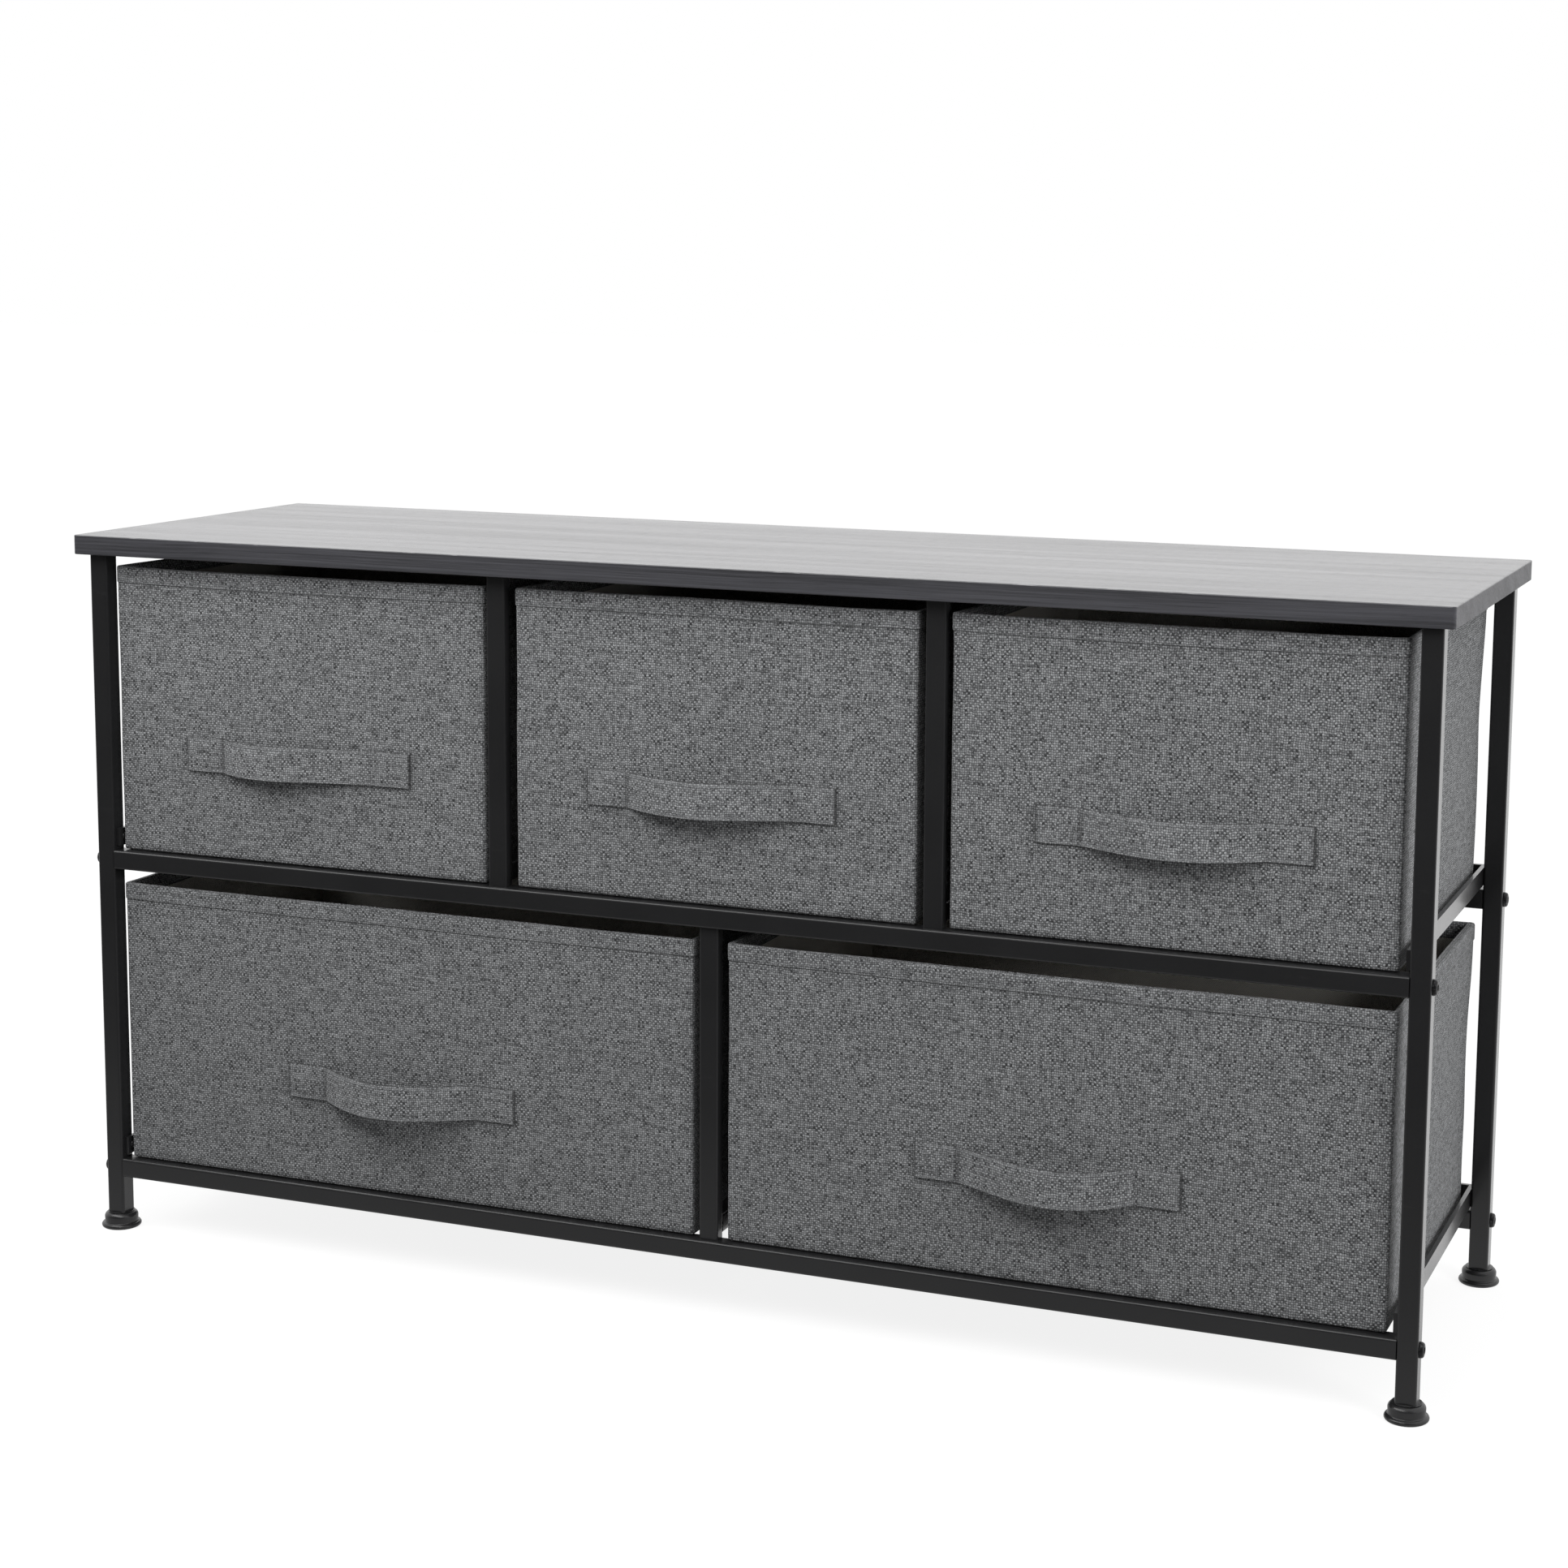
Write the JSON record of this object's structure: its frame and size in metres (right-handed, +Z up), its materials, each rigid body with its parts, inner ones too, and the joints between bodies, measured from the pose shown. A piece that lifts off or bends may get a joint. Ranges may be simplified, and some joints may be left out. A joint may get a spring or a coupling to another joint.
{
  "type": "fabric drawer dresser",
  "caption": "Wide low dresser with fabric bin drawers and cloth pull straps in a black square-tube steel frame under a dark wood-grain board.",
  "frame": {"origin": "on the floor under the middle of the bounding box, the pull straps included", "axes": "+Z up, +X to the right along the dresser's width seen from its front, the drawers open towards -Y"},
  "size_m": [1, 0.3113, 0.522],
  "materials": {
    "board_laminate": "dark charcoal wood-grain laminate, satin",
    "frame_steel": "black powder coat, satin",
    "bolt_steel": "black oxide, semi-gloss",
    "foot_plastic": "black moulded plastic, fine matte",
    "drawer_fabric": "heather grey woven linen look",
    "strap_fabric": "heather grey woven linen look, sewn double",
    "lining_fabric": "pale warm grey non-woven lining with a fine diagonal emboss"
  },
  "bodies": {
    "frame": {"top_board": "board_laminate", "leg_front_left": "frame_steel", "foot_front_left": "foot_plastic", "leg_front_right": "frame_steel", "foot_front_right": "foot_plastic", "leg_rear_left": "frame_steel", "foot_rear_left": "foot_plastic", "leg_rear_right": "frame_steel", "foot_rear_right": "foot_plastic", "rail_front_middle": "frame_steel", "bolt_front_middle_left": "bolt_steel", "bolt_front_middle_right": "bolt_steel", "rail_front_bottom": "frame_steel", "bolt_front_bottom_left": "bolt_steel", "bolt_front_bottom_right": "bolt_steel", "rail_rear_middle": "frame_steel", "bolt_rear_middle_left": "bolt_steel", "bolt_rear_middle_right": "bolt_steel", "rail_rear_bottom": "frame_steel", "bolt_rear_bottom_left": "bolt_steel", "bolt_rear_bottom_right": "bolt_steel", "stop_bar_middle": "frame_steel", "side_bar_middle_left": "frame_steel", "side_bar_middle_right": "frame_steel", "stop_bar_bottom": "frame_steel", "side_bar_bottom_left": "frame_steel", "side_bar_bottom_right": "frame_steel", "post_front_upper_left": "frame_steel", "post_rear_upper_left": "frame_steel", "guide_upper_left": "frame_steel", "post_front_upper_right": "frame_steel", "post_rear_upper_right": "frame_steel", "guide_upper_right": "frame_steel", "post_front_lower": "frame_steel", "post_rear_lower": "frame_steel", "guide_lower": "frame_steel"},
    "drawer_upper_left": {"drawer_upper_left_bin": "drawer_fabric", "drawer_upper_left_base": "lining_fabric", "drawer_upper_left_handle": "strap_fabric"},
    "drawer_upper_middle": {"drawer_upper_middle_bin": "drawer_fabric", "drawer_upper_middle_base": "lining_fabric", "drawer_upper_middle_handle": "strap_fabric"},
    "drawer_upper_right": {"drawer_upper_right_bin": "drawer_fabric", "drawer_upper_right_base": "lining_fabric", "drawer_upper_right_handle": "strap_fabric"},
    "drawer_lower_left": {"drawer_lower_left_bin": "drawer_fabric", "drawer_lower_left_base": "lining_fabric", "drawer_lower_left_handle": "strap_fabric"},
    "drawer_lower_right": {"drawer_lower_right_bin": "drawer_fabric", "drawer_lower_right_base": "lining_fabric", "drawer_lower_right_handle": "strap_fabric"}
  },
  "joints": [
    {"name": "drawer_upper_left_slide", "type": "slide", "parent": "frame", "child": "drawer_upper_left", "axis": [0, -1, 0], "range_m": [0, 0.22]},
    {"name": "drawer_upper_middle_slide", "type": "slide", "parent": "frame", "child": "drawer_upper_middle", "axis": [0, -1, 0], "range_m": [0, 0.22]},
    {"name": "drawer_upper_right_slide", "type": "slide", "parent": "frame", "child": "drawer_upper_right", "axis": [0, -1, 0], "range_m": [0, 0.22]},
    {"name": "drawer_lower_left_slide", "type": "slide", "parent": "frame", "child": "drawer_lower_left", "axis": [0, -1, 0], "range_m": [0, 0.22]},
    {"name": "drawer_lower_right_slide", "type": "slide", "parent": "frame", "child": "drawer_lower_right", "axis": [0, -1, 0], "range_m": [0, 0.22]}
  ]
}
